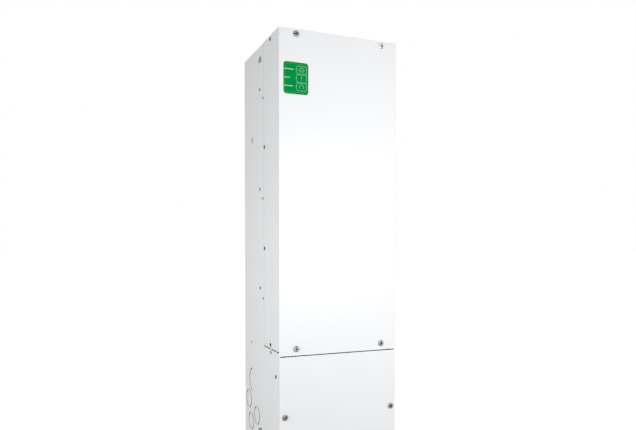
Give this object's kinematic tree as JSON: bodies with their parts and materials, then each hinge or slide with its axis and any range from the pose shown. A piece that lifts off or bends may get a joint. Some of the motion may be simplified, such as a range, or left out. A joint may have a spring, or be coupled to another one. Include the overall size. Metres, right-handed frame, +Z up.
{
  "type": "charge controller",
  "caption": "Tall wall-hung solar charge controller: sheet-metal case with an indicator label, a fan-cooled power section above a wiring compartment with conduit knockouts.",
  "frame": {"origin": "middle of the case's base in plan, on the surface it stands on", "axes": "+Z up, the front covers face -Y, the wall bracket is at +Y, +X is to the right seen from the front"},
  "size_m": [0.2226, 0.223, 0.757],
  "materials": {
    "white_paint": "satin white powder coat with a fine orange peel",
    "zinc_steel": "zinc-plated sheet",
    "screw_steel": "plated steel fasteners",
    "aluminium": "extruded, bare",
    "label_green": "printed polycarbonate overlay",
    "light_guide": "clear tinted light guide",
    "circuit_board": "solder-masked laminate",
    "black_plastic": "moulded",
    "green_plastic": "moulded",
    "copper": "copper bar and enamelled wire",
    "ferrite": "sintered"
  },
  "bodies": {
    "chassis": {"left_side_panel": "white_paint", "right_side_panel": "white_paint", "back_panel": "white_paint", "top_panel": "white_paint", "bottom_panel": "white_paint", "shelf_panel": "zinc_steel", "left_shelf_rail": "zinc_steel", "right_shelf_rail": "zinc_steel", "left_cover_lip": "zinc_steel", "right_cover_lip": "zinc_steel", "wall_bracket": "zinc_steel", "left_sink_rail": "zinc_steel", "right_sink_rail": "zinc_steel", "fan_plate": "zinc_steel", "terminal_plate": "zinc_steel", "heat_sink": "aluminium", "power_board": "circuit_board", "control_board": "circuit_board", "left_power_module": "black_plastic", "right_power_module": "black_plastic", "control_board_spacer": "black_plastic", "bulk_capacitor_1": "black_plastic", "bulk_capacitor_2": "black_plastic", "bulk_capacitor_3": "black_plastic", "fan_frame": "black_plastic", "pv_terminal_block": "black_plastic", "battery_terminal_block": "black_plastic", "network_jack_left": "black_plastic", "network_jack_right": "black_plastic", "aux_socket": "green_plastic", "inductor_left": "copper", "inductor_right": "copper", "transformer_winding": "copper", "ground_bar": "copper", "positive_bus": "copper", "negative_bus": "copper", "transformer_core": "ferrite"},
    "upper_cover": {"upper_cover": "white_paint", "cover_screw_upper_left": "screw_steel", "cover_screw_upper_right": "screw_steel", "cover_screw_lower_left": "screw_steel", "cover_screw_lower_right": "screw_steel", "left_flange_screw_1": "screw_steel", "left_flange_screw_2": "screw_steel", "left_flange_screw_3": "screw_steel", "left_flange_screw_4": "screw_steel", "right_flange_screw_1": "screw_steel", "right_flange_screw_2": "screw_steel", "right_flange_screw_3": "screw_steel", "right_flange_screw_4": "screw_steel", "indicator_label": "label_green", "light_pipe_upper": "light_guide", "light_pipe_middle": "light_guide", "light_pipe_lower": "light_guide", "indicator_board": "circuit_board"},
    "lower_cover": {"lower_cover": "white_paint", "lower_screw_left": "screw_steel", "lower_screw_right": "screw_steel"},
    "fan_rotor": {"fan_rotor": "black_plastic"},
    "aux_plug": {"aux_plug": "green_plastic"}
  },
  "joints": [
    {"name": "upper_cover_slide", "type": "slide", "parent": "chassis", "child": "upper_cover", "axis": [0, -1, 0], "range_m": [0, 0.22]},
    {"name": "lower_cover_slide", "type": "slide", "parent": "chassis", "child": "lower_cover", "axis": [0, -1, 0], "range_m": [0, 0.15]},
    {"name": "fan_spin", "type": "hinge", "parent": "chassis", "child": "fan_rotor", "pos_m": [0, 0.0575, 0.245], "axis": [0, 0, 1], "continuous": true},
    {"name": "aux_plug_slide", "type": "slide", "parent": "chassis", "child": "aux_plug", "axis": [0, -1, 0], "range_m": [0, 0.03]}
  ]
}
